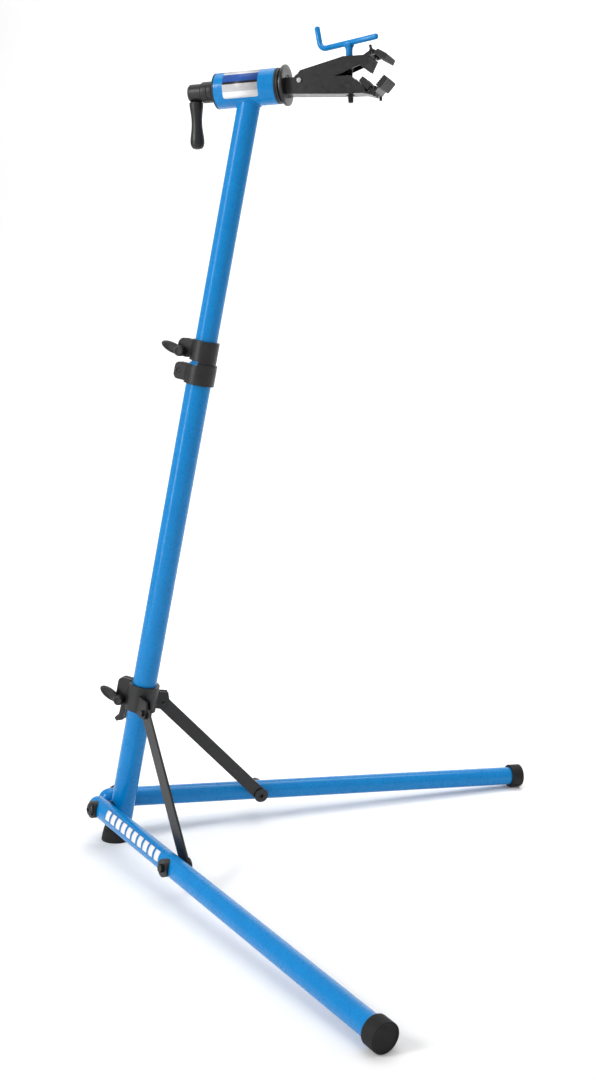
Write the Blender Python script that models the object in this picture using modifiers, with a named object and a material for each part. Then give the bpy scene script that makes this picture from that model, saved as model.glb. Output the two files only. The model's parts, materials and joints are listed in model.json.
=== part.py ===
"""Folding bike repair stand: a leaning telescoping mast on two folding legs, with a rotating clamp.

Metres, +Z up. The origin is the middle of the mast foot's sole. The mast leans towards +X, and the
two legs spread to either side of +X. "front" is the -Y side and "rear" the +Y side.
"""
import math

import bmesh
import bpy
from mathutils import Vector

GAP = 0.0003                     # left between pieces that touch

# --- mast ---------------------------------------------------------------------------------------
LEAN = math.radians(11.0)        # of the mast, from upright towards +X
LOWER_RADIUS = 0.0225
LOWER_BORE = 0.0210
LOWER_TOP = 0.922                # heights of the mast's pieces are measured along its axis
UPPER_RADIUS = 0.0197
UPPER_BORE = 0.0181
UPPER_BOTTOM = 0.720
FOOT_RADIUS = 0.0285
FOOT_TOP = 0.030
FOOT_SOCKET = 0.0095             # height of the tube's end above the sole

# --- height clamp, fixed on the lower tube's top --------------------------------------------------
CLAMP_BOTTOM = 0.885
CLAMP_TOP = 0.9625
CLAMP_LOWER_RADIUS = 0.0275
CLAMP_UPPER_RADIUS = 0.0245
EAR_HALF = 0.008                 # half the thickness of a pair of clamp ears
CLAMP_BOLT = (-0.040, 0.937)     # (x, height) of the lever's bolt
FIXING_BOLT = (-0.0390, 0.9025)
BOLT_RADIUS = 0.0035

# --- legs ---------------------------------------------------------------------------------------
LEG_AZIMUTH = math.radians(38.0)     # of each leg round the mast, from +X
LEG_OFFSET = 0.0427                  # of a leg's axis, sideways from the mast's axis
LEG_RADIUS = 0.01855
LEG_BORE = 0.0168
LEG_LENGTH = 0.879                   # from the pivot to the cap's end face
LEG_HEEL = 0.037                     # the rounded end behind the pivot
CAP_RADIUS = 0.0235
CAP_SKIRT = 0.026
CAP_END = 0.006
PIVOT_HEIGHT = 0.065
PIVOT_BOLT_RADIUS = 0.005
SADDLE_FACE = 0.0228                 # outer face of the saddle washers, from the leg's axis

# --- sliding collar and braces --------------------------------------------------------------------
COLLAR_RADIUS = 0.029
COLLAR_BORE = 0.0229
COLLAR_SPAN = (0.267, 0.3165)
COLLAR_BOLT = (-0.038, 0.277)
BRACE_REACH = 0.0463                 # of the brace's upper pivot, out from the mast's axis
BRACE_HEIGHT = 0.2767                # of the brace's upper pivot
BRACE_FOOT = 0.284                   # of the brace's lower pivot, along the leg from the leg's pivot
BRACE_WIDTH = 0.025
BRACE_THICKNESS = 0.0045
BRACE_TOP_SIDE = 0.0130              # sideways from the mast's axis
BRACE_FOOT_SIDE = 0.0196

# --- head ---------------------------------------------------------------------------------------
HEAD_X = -0.0061                     # of the barrel's middle, in the mast's frame
HEAD_HEIGHT = 1.3939
HEAD_TILT = math.radians(13.0)       # of the barrel, from square to the mast
BARREL_HALF = 0.054
BARREL_RADIUS = 0.0295
BARREL_BORE = 0.0260
SHAFT_RADIUS = 0.016
STUD_RADIUS = 0.008
FLANGE_FACE = 0.0706                 # distances along the barrel's axis, from its middle
FLANGE_RADIUS = 0.0335

# --- clamp --------------------------------------------------------------------------------------
ARM_PIVOT = Vector((0.0961, 0.0, 0.0028))
TRUNNION_REACH = 0.085               # of both trunnions from the arms' pivot
LOWER_TRUNNION_ANGLE = math.radians(-10.4)
UPPER_TRUNNION_ANGLE = math.radians(12.8)
LOWER_ARM_HALF = 0.017
LOWER_ARM_INSIDE = 0.0145
UPPER_ARM_HALF = 0.0139
UPPER_ARM_INSIDE = 0.0117
SHEET = 0.0025
PIN_RADIUS = 0.0040
TRUNNION_RADIUS = 0.0065
JOURNAL_RADIUS = 0.004
SCREW_RADIUS = 0.005

LOWER_JAW = (0.226, -0.0295)          # (x, z) of each jaw plate's fold
UPPER_JAW = (0.221, 0.043)
UPPER_JAW_TURN = math.radians(163.5)
JAW_HALF_ANGLE = math.radians(43.5)
JAW_HALF_WIDTH = 0.024
JAW_WING = 0.029
JAW_SHEET = 0.003
PAD_START = 0.012
PAD_END = 0.0325
PAD_LAYER = 0.0034
PAD_HALF_WIDTH = 0.027
JAW_BOLT_SIDE = 0.0205

# --- lock handle, behind the barrel ---------------------------------------------------------------
HUB_FRONT = -0.0605
HUB_STEP = -0.084
HUB_BACK = -0.108
GRIP_X = -0.0965
GRIP_TOP = -0.0160
GRIP_BOTTOM = -0.0935

# --- T-handle, in the spindle's frame -------------------------------------------------------------
HANDLE_HEIGHT = 0.037
HANDLE_TURN = math.radians(-21.8)
HANDLE_ROD = 0.0047
HANDLE_ARM = 0.059
HANDLE_BACK = 0.048                  # where the bend begins
HANDLE_BEND = 0.014
HANDLE_BEND_ANGLE = 80
HANDLE_TIP = 0.027

TUBE_SIDES = 40
SMALL_SIDES = 20
PLANE_Y = (math.pi / 2, 0.0, 0.0)    # lays an outline drawn in (x, y) into the (x, z) plane
ALONG = {"X": (0.0, math.pi / 2, 0.0), "Y": (-math.pi / 2, 0.0, 0.0), "Z": (0.0, 0.0, 0.0)}


# === scene, materials and frames ====================================================================
for leftover in list(bpy.data.objects):
    bpy.data.objects.remove(leftover)

parts = bpy.data.collections.new("bike_repair_stand")
tools = bpy.data.collections.new("cutters")
bpy.context.scene.collection.children.link(parts)
bpy.context.scene.collection.children.link(tools)


def material(name, colour, roughness, metallic):
    made = bpy.data.materials.new(name)
    made.use_nodes = True
    shader = made.node_tree.nodes["Principled BSDF"]
    shader.inputs["Base Color"].default_value = (*colour, 1.0)
    shader.inputs["Roughness"].default_value = roughness
    shader.inputs["Metallic"].default_value = metallic
    return made


BLUE = material("blue_paint", (0.0, 0.19, 0.52), 0.35, 0.0)
BLACK = material("black_casting", (0.015, 0.015, 0.016), 0.45, 0.0)
RUBBER = material("black_rubber", (0.02, 0.02, 0.02), 0.8, 0.0)
PAD = material("jaw_rubber", (0.05, 0.05, 0.05), 0.75, 0.0)
STEEL = material("black_steel", (0.03, 0.03, 0.032), 0.35, 0.6)
BRIGHT = material("bright_steel", (0.6, 0.6, 0.6), 0.3, 1.0)
NYLON = material("grey_nylon", (0.25, 0.25, 0.26), 0.5, 0.0)


def frame(name, parent=None, location=(0, 0, 0), rotation=(0, 0, 0)):
    """An empty that the pieces of one assembly hang from."""
    made = bpy.data.objects.new(name, None)
    parts.objects.link(made)
    made.parent = parent
    made.location = location
    made.rotation_euler = rotation
    return made


def place(made, parent, location, rotation, look):
    """Links a piece (look is its material) or a cutter (look is None)."""
    made.parent = parent
    made.location = location
    made.rotation_euler = rotation
    if look is None:
        tools.objects.link(made)
        made.hide_render = True
        made.display_type = "WIRE"
    else:
        parts.objects.link(made)
        made.data.materials.append(look)
    return made


def smooth(made):
    made.data.shade_smooth()
    made.data.set_sharp_from_angle(angle=math.radians(35))


# === shapes =========================================================================================
def cylinder(name, parent, look, radius, span, axis="Z", at=(0, 0, 0), sides=SMALL_SIDES, top=None):
    """A cylinder, or a cone with its far radius in top, over span along one axis of its frame."""
    mesh = bpy.data.meshes.new(name)
    shape = bmesh.new()
    bmesh.ops.create_cone(shape, cap_ends=True, segments=sides, radius1=radius,
                          radius2=radius if top is None else top, depth=span[1] - span[0])
    bmesh.ops.translate(shape, verts=shape.verts, vec=(0, 0, sum(span) / 2))
    shape.to_mesh(mesh)
    shape.free()
    made = place(bpy.data.objects.new(name, mesh), parent, at, ALONG[axis], look)
    if sides > 8:
        smooth(made)
    return made


def box(name, parent, look, low, high):
    mesh = bpy.data.meshes.new(name)
    shape = bmesh.new()
    bmesh.ops.create_cube(shape, size=1.0)
    size = [b - a for a, b in zip(low, high)]
    middle = [(a + b) / 2 for a, b in zip(low, high)]
    bmesh.ops.scale(shape, verts=shape.verts, vec=size)
    bmesh.ops.translate(shape, verts=shape.verts, vec=middle)
    shape.to_mesh(mesh)
    shape.free()
    return place(bpy.data.objects.new(name, mesh), parent, (0, 0, 0), (0, 0, 0), look)


def turned(name, parent, look, profile, closed=True, axis="Z", at=(0, 0, 0), sides=TUBE_SIDES):
    """A turned piece. The profile is (radius, height) points, down the outer side first."""
    mesh = bpy.data.meshes.new(name)
    points = [(radius, 0, height) for radius, height in profile]
    edges = [(i, i + 1) for i in range(len(points) - 1)]
    if closed:
        edges.append((len(points) - 1, 0))
    mesh.from_pydata(points, edges, [])
    made = place(bpy.data.objects.new(name, mesh), parent, at, ALONG[axis], look)
    screw = made.modifiers.new("Screw", "SCREW")
    screw.steps = sides
    screw.render_steps = sides
    screw.use_merge_vertices = True
    screw.merge_threshold = 0.00001
    screw.use_smooth_shade = True
    return made


def ring(name, parent, look, outer, bore, span, axis="Z", at=(0, 0, 0), sides=TUBE_SIDES):
    profile = [(outer, span[1]), (outer, span[0]), (bore, span[0]), (bore, span[1])]
    return turned(name, parent, look, profile, axis=axis, at=at, sides=sides)


def as_mesh(made):
    """Replaces a curve by its mesh, with the caps welded on."""
    bpy.context.view_layer.update()
    evaluated = made.evaluated_get(bpy.context.evaluated_depsgraph_get())
    mesh = bpy.data.meshes.new_from_object(evaluated)
    shape = bmesh.new()
    shape.from_mesh(mesh)
    bmesh.ops.remove_doubles(shape, verts=shape.verts, dist=0.00001)
    shape.to_mesh(mesh)
    shape.free()
    name, parent, where, turn = made.name, made.parent, made.location.copy(), made.rotation_euler.copy()
    home = made.users_collection[0]
    hidden = made.hide_render
    bpy.data.objects.remove(made)
    solid = bpy.data.objects.new(name, mesh)
    home.objects.link(solid)
    solid.parent = parent
    solid.location = where
    solid.rotation_euler = turn
    solid.hide_render = hidden
    if hidden:
        solid.display_type = "WIRE"
    smooth(solid)
    return solid


def plate(name, parent, look, outline, thickness, at=(0, 0, 0), rotation=PLANE_Y):
    """A flat outline, by default drawn in (x, z), with its thickness to both sides."""
    curve = bpy.data.curves.new(name, "CURVE")
    curve.dimensions = "2D"
    curve.fill_mode = "BOTH"
    curve.extrude = thickness / 2
    spline = curve.splines.new("POLY")
    spline.points.add(len(outline) - 1)
    for point, (u, v) in zip(spline.points, outline):
        point.co = (u, v, 0, 1)
    spline.use_cyclic_u = True
    return as_mesh(place(bpy.data.objects.new(name, curve), parent, at, rotation, look))


def rod(name, parent, look, points, radius, at=(0, 0, 0), rotation=(0, 0, 0)):
    curve = bpy.data.curves.new(name, "CURVE")
    curve.dimensions = "3D"
    curve.bevel_depth = radius
    curve.bevel_resolution = 3
    curve.use_fill_caps = True
    spline = curve.splines.new("POLY")
    spline.points.add(len(points) - 1)
    for point, where in zip(spline.points, points):
        point.co = (*where, 1)
    return as_mesh(place(bpy.data.objects.new(name, curve), parent, at, rotation, look))


def arc(middle, radius, start, end, steps=8):
    """Points of an arc in degrees, both ends included."""
    angles = [math.radians(start + (end - start) * i / steps) for i in range(steps + 1)]
    return [(middle[0] + radius * math.cos(a), middle[1] + radius * math.sin(a)) for a in angles]


def rounded(low, high, radius, steps=4):
    """A rectangle with round corners."""
    left, bottom = low[0] + radius, low[1] + radius
    right, top = high[0] - radius, high[1] - radius
    return (arc((right, bottom), radius, -90, 0, steps) + arc((right, top), radius, 0, 90, steps)
            + arc((left, top), radius, 90, 180, steps) + arc((left, bottom), radius, 180, 270, steps))


def boolean(made, tool, operation):
    step = made.modifiers.new(operation.title(), "BOOLEAN")
    step.operation = operation
    step.object = tool
    return made


def cut(made, *cutters):
    for cutter in cutters:
        boolean(made, cutter, "DIFFERENCE")
    return made


def join(made, *additions):
    for addition in additions:
        boolean(made, addition, "UNION")
    return made


def soften(made, width, segments=2):
    step = made.modifiers.new("Bevel", "BEVEL")
    step.width = width
    step.segments = segments
    step.limit_method = "ANGLE"
    step.angle_limit = math.radians(40)
    return made


def bolt(name, parent, look, radius, span, head_radius, head_span, axis, at, head_sides=6):
    """A shank over span with a hexagonal or round head over head_span."""
    made = cylinder(name, parent, look, head_radius, head_span, axis, at, sides=head_sides)
    return join(made, cylinder(name + "_shank", parent, None, radius, span, axis, at))


# === frames =========================================================================================
def leg_angle():
    """Angle from the mast to a leg at which the cap's rim just touches the floor."""
    low, high = math.radians(75), math.radians(95)
    for _ in range(60):
        angle = (low + high) / 2
        forward = LEG_LENGTH * math.sin(angle) * math.cos(LEG_AZIMUTH) - LEG_OFFSET * math.sin(LEG_AZIMUTH)
        up = PIVOT_HEIGHT + LEG_LENGTH * math.cos(angle)
        end_height = math.cos(LEAN) * up - math.sin(LEAN) * forward
        rise = math.cos(LEAN) * math.cos(angle) - math.sin(LEAN) * math.sin(angle) * math.cos(LEG_AZIMUTH)
        if end_height > CAP_RADIUS * math.sqrt(1 - rise * rise):
            low = angle
        else:
            high = angle
    return low


LEG_ANGLE = leg_angle()

stand = frame("stand_frame")
mast = frame("mast_frame", stand, rotation=(0, LEAN, 0))
head = frame("head_frame", mast, (HEAD_X, 0, HEAD_HEIGHT), (0, -HEAD_TILT, 0))


def polar(middle, reach, angle):
    return Vector((middle.x + reach * math.cos(angle), 0, middle.z + reach * math.sin(angle)))


lower_trunnion_at = polar(ARM_PIVOT, TRUNNION_REACH, LOWER_TRUNNION_ANGLE)
upper_trunnion_at = polar(ARM_PIVOT, TRUNNION_REACH, UPPER_TRUNNION_ANGLE)
spindle_rise = upper_trunnion_at - lower_trunnion_at
SPINDLE_TILT = math.atan2(spindle_rise.x, spindle_rise.z)


# === lower mast =====================================================================================
def lower_mast():
    tube = ring("lower_tube", mast, BLUE, LOWER_RADIUS, LOWER_BORE, (FOOT_SOCKET, LOWER_TOP))

    foot = turned("mast_foot", mast, RUBBER,
                  [(0, FOOT_SOCKET - GAP), (LOWER_RADIUS + GAP, FOOT_SOCKET - GAP),
                   (LOWER_RADIUS + GAP, FOOT_TOP), (LOWER_RADIUS + 0.004, FOOT_TOP), (FOOT_RADIUS, 0.006),
                   (FOOT_RADIUS, -0.012), (0, -0.012)], closed=False)
    cut(foot, box("floor_cut", stand, None, (-0.1, -0.1, -0.05), (0.1, 0.1, 0)))

    for side, name in ((-1, "front"), (1, "rear")):
        hinge = frame("pivot_frame_" + name, mast, (0, 0, PIVOT_HEIGHT), (0, 0, side * LEG_AZIMUTH))
        inner, outer = LOWER_RADIUS - 0.0115, LEG_OFFSET + SADDLE_FACE + GAP
        span = sorted((side * inner, side * (outer + 0.002)))
        head_span = sorted((side * outer, side * (outer + 0.006)))
        bolt("pivot_bolt_" + name, hinge, STEEL, PIVOT_BOLT_RADIUS, span, 0.0120, head_span, "Y",
             (0, 0, 0), head_sides=SMALL_SIDES)
        span = sorted((side * (LOWER_BORE - 0.0085), side * (LOWER_BORE - 0.0025)))
        ring("pivot_nut_" + name, hinge, STEEL, 0.0085, PIVOT_BOLT_RADIUS + GAP, span, "Y",
             sides=SMALL_SIDES)
        cut(tube, cylinder("pivot_hole_" + name, hinge, None, PIVOT_BOLT_RADIUS + GAP,
                           sorted((side * 0.012, side * 0.03)), "Y"))


def height_clamp():
    step = LOWER_TOP + GAP
    body = cylinder("height_clamp", mast, BLACK, CLAMP_LOWER_RADIUS, (CLAMP_BOTTOM, step), sides=TUBE_SIDES)
    upper = cylinder("clamp_upper_band", mast, None, CLAMP_UPPER_RADIUS, (step - 0.001, CLAMP_TOP),
                     sides=TUBE_SIDES)
    upper_ear = plate("clamp_upper_ear", mast, None, rounded((-0.049, 0.928), (-0.018, 0.961), 0.011),
                      2 * EAR_HALF)
    lower_ear = plate("clamp_lower_ear", mast, None, rounded((-0.048, 0.887), (-0.018, 0.9180), 0.009),
                      2 * EAR_HALF)
    join(body, upper, upper_ear, lower_ear)
    cut(body,
        cylinder("clamp_lower_bore", mast, None, LOWER_RADIUS + GAP, (0.870, step), sides=TUBE_SIDES),
        cylinder("clamp_upper_bore", mast, None, UPPER_RADIUS + GAP, (0.900, 0.980), sides=TUBE_SIDES),
        box("clamp_split", mast, None, (-0.060, -0.0015, 0.870), (-0.015, 0.0015, 0.980)),
        box("clamp_slit", mast, None, (-0.060, -0.035, 0.9188), (0.002, 0.035, 0.9262)),
        cylinder("clamp_bolt_hole", mast, None, BOLT_RADIUS + GAP, (-0.02, 0.02), "Y",
                 (CLAMP_BOLT[0], 0, CLAMP_BOLT[1])),
        cylinder("fixing_bolt_hole", mast, None, 0.0025 + GAP, (-0.02, 0.02), "Y",
                 (FIXING_BOLT[0], 0, FIXING_BOLT[1])),
        cylinder("fixing_bolt_recess", mast, None, 0.0046, (-0.02, -EAR_HALF + 0.0045), "Y",
                 (FIXING_BOLT[0], 0, FIXING_BOLT[1])))

    ring("guide_bush", mast, NYLON, LOWER_BORE - GAP, UPPER_RADIUS + GAP, (0.880, LOWER_TOP - 0.001))
    bolt("height_clamp_bolt", mast, STEEL, BOLT_RADIUS, (-0.020, 0.009), 0.0065,
         (EAR_HALF + GAP, EAR_HALF + 0.005), "Y", (CLAMP_BOLT[0], 0, CLAMP_BOLT[1]))
    bolt("clamp_fixing_bolt", mast, STEEL, 0.0025, (-0.006, 0.012), 0.0042,
         (-EAR_HALF + 0.0010, -EAR_HALF + 0.0042), "Y", (FIXING_BOLT[0], 0, FIXING_BOLT[1]),
         head_sides=SMALL_SIDES)


def wing_lever(name, at, middle, half_length, half_width, rise):
    """A hub on a clamp bolt with one oval wing, which rises from -X by the angle rise."""
    pivot = frame(name + "_frame", mast, (at[0], 0, at[1]))
    hub = turned(name, pivot, BLACK,
                 [(0, 0.024), (0.0075, 0.024), (0.0095, 0.021), (0.0095, EAR_HALF + GAP),
                  (0, EAR_HALF + GAP)], closed=False, sides=24)
    hub.rotation_euler = (math.pi / 2, 0, 0)
    along = Vector((-math.cos(rise), math.sin(rise)))
    across = Vector((math.sin(rise), math.cos(rise)))
    outline = []
    for i in range(28):
        turn = 2 * math.pi * i / 28
        point = along * (middle + half_length * math.cos(turn)) + across * half_width * math.sin(turn)
        outline.append((point.x, point.y))
    join(hub, plate(name + "_wing", pivot, None, outline, 0.008, at=(0, -0.0175, 0)))
    cut(hub, cylinder(name + "_bore", pivot, None, BOLT_RADIUS + GAP, (-0.0205, 0.0), "Y"))


# === upper mast =====================================================================================
def upper_mast():
    tube = ring("upper_tube", mast, BLUE, UPPER_RADIUS, UPPER_BORE, (UPPER_BOTTOM, HEAD_HEIGHT))
    cut(tube, cylinder("barrel_cut", head, None, BARREL_RADIUS + GAP, (-0.08, 0.08), "X", sides=TUBE_SIDES))
    ring("head_barrel", head, BLUE, BARREL_RADIUS, BARREL_BORE, (-BARREL_HALF, BARREL_HALF), "X")
    for side, name in ((1, "front"), (-1, "rear")):
        face = BARREL_HALF + GAP
        profile = [(BARREL_RADIUS, face + 0.0025), (BARREL_RADIUS, face), (BARREL_BORE - GAP, face),
                   (BARREL_BORE - GAP, face - 0.022), (SHAFT_RADIUS + GAP, face - 0.022),
                   (SHAFT_RADIUS + GAP, face + 0.0025)]
        bush = turned("barrel_bush_" + name, head, NYLON, profile, axis="X")
        if side < 0:
            bush.rotation_euler = (0, -math.pi / 2, 0)


# === clamp head =====================================================================================
def clamp_shaft():
    turned("head_shaft", head, STEEL,
           [(0, 0.0703), (SHAFT_RADIUS - 0.001, 0.0703), (SHAFT_RADIUS, 0.069),
            (SHAFT_RADIUS, HUB_FRONT + 0.003), (STUD_RADIUS, HUB_FRONT + 0.003), (STUD_RADIUS, -0.102),
            (0, -0.102)], closed=False, axis="X", sides=32)
    ring("thrust_ring", head, BLACK, 0.0290, SHAFT_RADIUS + GAP, (0.0571, 0.0610), "X")
    turned("head_flange", head, STEEL,
           [(FLANGE_RADIUS - 0.001, FLANGE_FACE), (FLANGE_RADIUS, FLANGE_FACE - 0.001),
            (FLANGE_RADIUS, FLANGE_FACE - 0.005), (0.027, FLANGE_FACE - 0.0055), (0.027, 0.0613),
            (SHAFT_RADIUS + GAP, 0.0613), (SHAFT_RADIUS + GAP, FLANGE_FACE)], axis="X")


def lower_arm():
    start = FLANGE_FACE + GAP
    outline = [(start, -0.0170), (0.080, -0.0176), (0.168, -0.0245), (0.206, -0.0262), (0.2235, -0.0312),
               (0.2240, -0.0285), (0.2190, -0.0227), (0.2160, -0.0247), (0.2105, -0.0247), (0.2075, -0.0170),
               (0.186, 0.0030), (0.098, 0.0080), (start, 0.0095)]
    arm = plate("lower_arm", head, STEEL, outline, 2 * LOWER_ARM_HALF)
    inside = [(start + 0.0035, -0.0145), (0.080, -0.0150), (0.168, -0.0220), (0.212, -0.0180),
              (0.212, 0.020), (start + 0.0035, 0.020)]
    cut(arm, plate("lower_arm_inside", head, None, inside, 2 * LOWER_ARM_INSIDE),
        cylinder("arm_pin_hole", head, None, PIN_RADIUS + GAP, (-0.03, 0.03), "Y", ARM_PIVOT),
        cylinder("lower_journal_hole", head, None, JOURNAL_RADIUS + GAP, (-0.03, 0.03), "Y",
                 lower_trunnion_at))
    lower = frame("lower_trunnion_frame", head, lower_trunnion_at, (0, SPINDLE_TILT, 0))
    cut(arm, cylinder("lower_screw_slot", lower, None, 0.0075, (-0.025, -0.002)))
    cylinder("arm_pivot_pin", head, BRIGHT, PIN_RADIUS, (-0.0195, 0.0195), "Y", ARM_PIVOT)
    trunnion("lower_trunnion", lower, 0.0142, 0.0168)


def trunnion(name, parent, half, journal_half):
    """A cross pin with a plain bore for the screw."""
    body = cylinder(name, parent, STEEL, TRUNNION_RADIUS, (-half, half), "Y", sides=24)
    join(body, cylinder(name + "_journal", parent, None, JOURNAL_RADIUS, (-journal_half, journal_half), "Y"))
    cut(body, cylinder(name + "_bore", parent, None, SCREW_RADIUS + 0.0004, (-0.012, 0.012)))


def upper_arm():
    pivot = (ARM_PIVOT.x, ARM_PIVOT.z)
    outline = [(0.157, 0.0055), (0.2009, 0.0195), (0.2095, 0.0300), (0.2113, 0.0340), (0.2156, 0.0340),
               (0.2189, 0.0403), (0.2150, 0.0398), (0.206, 0.0345), (0.172, 0.0355)]
    outline += [(0.101, 0.0205), (0.0965, 0.0195), (0.0925, 0.0143)]
    outline += arc(pivot, 0.0120, 130, 262, 8)
    arm = plate("upper_arm", head, STEEL, outline, 2 * UPPER_ARM_HALF)
    inside = [(0.250, -0.020), (0.250, 0.0320), (0.172, 0.0330)] + arc(pivot, 0.0095, 106, 180, 5)
    inside += [(0.070, -0.020)]
    cut(arm, plate("upper_arm_inside", head, None, inside, 2 * UPPER_ARM_INSIDE),
        cylinder("upper_pin_hole", head, None, PIN_RADIUS + GAP, (-0.03, 0.03), "Y", ARM_PIVOT),
        cylinder("upper_journal_hole", head, None, JOURNAL_RADIUS + GAP, (-0.03, 0.03), "Y",
                 upper_trunnion_at))
    upper = frame("upper_trunnion_frame", head, upper_trunnion_at, (0, SPINDLE_TILT, 0))
    cut(arm, cylinder("upper_screw_slot", upper, None, 0.0075, (0.002, 0.025)))
    trunnion("upper_trunnion", upper, 0.0112, 0.0136)
    return upper


def jaw(prefix, at, turn):
    """A folded plate that opens along its frame's +Z, two rubber caps on its wings and two bolts."""
    own = frame(prefix + "_jaw_frame", head, (at[0], 0, at[1]), (0, turn, 0))
    along = Vector((math.sin(JAW_HALF_ANGLE), math.cos(JAW_HALF_ANGLE)))
    inward = Vector((-along.y, along.x))

    def wing_point(distance, depth, side):
        point = along * distance + inward * depth
        return (side * point.x, point.y)

    outline = [(0, 0), wing_point(JAW_WING, 0, 1), wing_point(JAW_WING, JAW_SHEET, 1),
               (0, JAW_SHEET / along.x), wing_point(JAW_WING, JAW_SHEET, -1), wing_point(JAW_WING, 0, -1)]
    folded = plate(prefix + "_jaw_plate", own, STEEL, outline, 2 * JAW_HALF_WIDTH)
    front_side = 1 if math.cos(turn) > 0 else -1
    for side, name in ((front_side, "front"), (-front_side, "rear")):
        block = [wing_point(PAD_START, -PAD_LAYER, side), wing_point(PAD_END, -PAD_LAYER, side),
                 wing_point(PAD_END, JAW_SHEET + PAD_LAYER, side),
                 wing_point(PAD_START, JAW_SHEET + PAD_LAYER, side)]
        slot = [wing_point(PAD_START - 0.002, -GAP, side), wing_point(JAW_WING + GAP, -GAP, side),
                wing_point(JAW_WING + GAP, JAW_SHEET + GAP, side),
                wing_point(PAD_START - 0.002, JAW_SHEET + GAP, side)]
        pad = plate(prefix + "_pad_" + name, own, PAD, block, 2 * PAD_HALF_WIDTH)
        cut(pad, plate(prefix + "_slot_" + name, own, None, slot, 2 * (JAW_HALF_WIDTH + GAP)))
        soften(pad, 0.0012)
    for side, name in ((-1, "near"), (1, "far")):
        where = (0, side * JAW_BOLT_SIDE, 0)
        bolt(prefix + "_jaw_bolt_" + name, own, STEEL, 0.0025, (-0.0045, 0.010), 0.0040, (0.0090, 0.0118),
             "Z", where, head_sides=16)
        cut(folded, cylinder(prefix + "_jaw_hole_" + name, own, None, 0.0028, (-0.01, 0.02), "Z", where,
                             sides=16))


def spindle(parent):
    """The screw and its T-handle turn in the upper trunnion."""
    cylinder("spindle_screw", parent, STEEL, SCREW_RADIUS, (-0.059, 0.0150), sides=24)
    rise = HANDLE_HEIGHT
    bend = arc((-HANDLE_BACK, rise + HANDLE_BEND), HANDLE_BEND, 270, 270 - HANDLE_BEND_ANGLE, 6)
    lean = math.radians(90 - HANDLE_BEND_ANGLE)
    tip = (bend[-1][0] - HANDLE_TIP * math.sin(lean), bend[-1][1] + HANDLE_TIP * math.cos(lean))
    points = [(x, 0, z) for x, z in [(HANDLE_ARM, rise), (0, rise)] + bend + [tip]]
    bar = rod("t_handle", parent, BLUE, points, HANDLE_ROD, rotation=(0, 0, HANDLE_TURN))
    stem = turned("t_handle_stem", parent, None,
                  [(0, rise), (0.0090, rise - 0.0025), (0.0066, rise - 0.0075), (0.0057, rise - 0.0135),
                   (0.0057, 0.0153), (0, 0.0153)], closed=False, sides=24)
    join(bar, stem)


# === lock handle ====================================================================================
def lock_handle():
    hub = turned("lock_hub", head, BLACK,
                 [(0, -0.1023), (STUD_RADIUS + GAP, -0.1023), (STUD_RADIUS + GAP, HUB_FRONT),
                  (0.0160, HUB_FRONT), (0.0175, HUB_FRONT - 0.002), (0.0175, HUB_STEP + 0.002),
                  (0.0150, HUB_STEP), (0.0150, HUB_BACK + 0.003), (0.0125, HUB_BACK), (0, HUB_BACK)],
                 closed=False, axis="X", sides=32)
    cut(hub, cylinder("lock_rod_hole", head, None, 0.0045 + GAP, (-0.04, -0.0095), "Z", (GRIP_X, 0, 0)))
    cylinder("lock_rod", head, STEEL, 0.0045, (-0.080, -0.0098), "Z", (GRIP_X, 0, 0))
    turned("lock_grip", head, BLACK,
           [(0, -0.0803), (0.0045 + GAP, -0.0803), (0.0045 + GAP, GRIP_TOP), (0.0122, GRIP_TOP),
            (0.0117, -0.024), (0.0100, -0.036), (0.0093, -0.049), (0.0102, -0.062), (0.0122, -0.075),
            (0.0120, -0.085), (0.0080, -0.0915), (0, GRIP_BOTTOM)],
           closed=False, at=(GRIP_X, 0, 0), sides=24)


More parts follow.
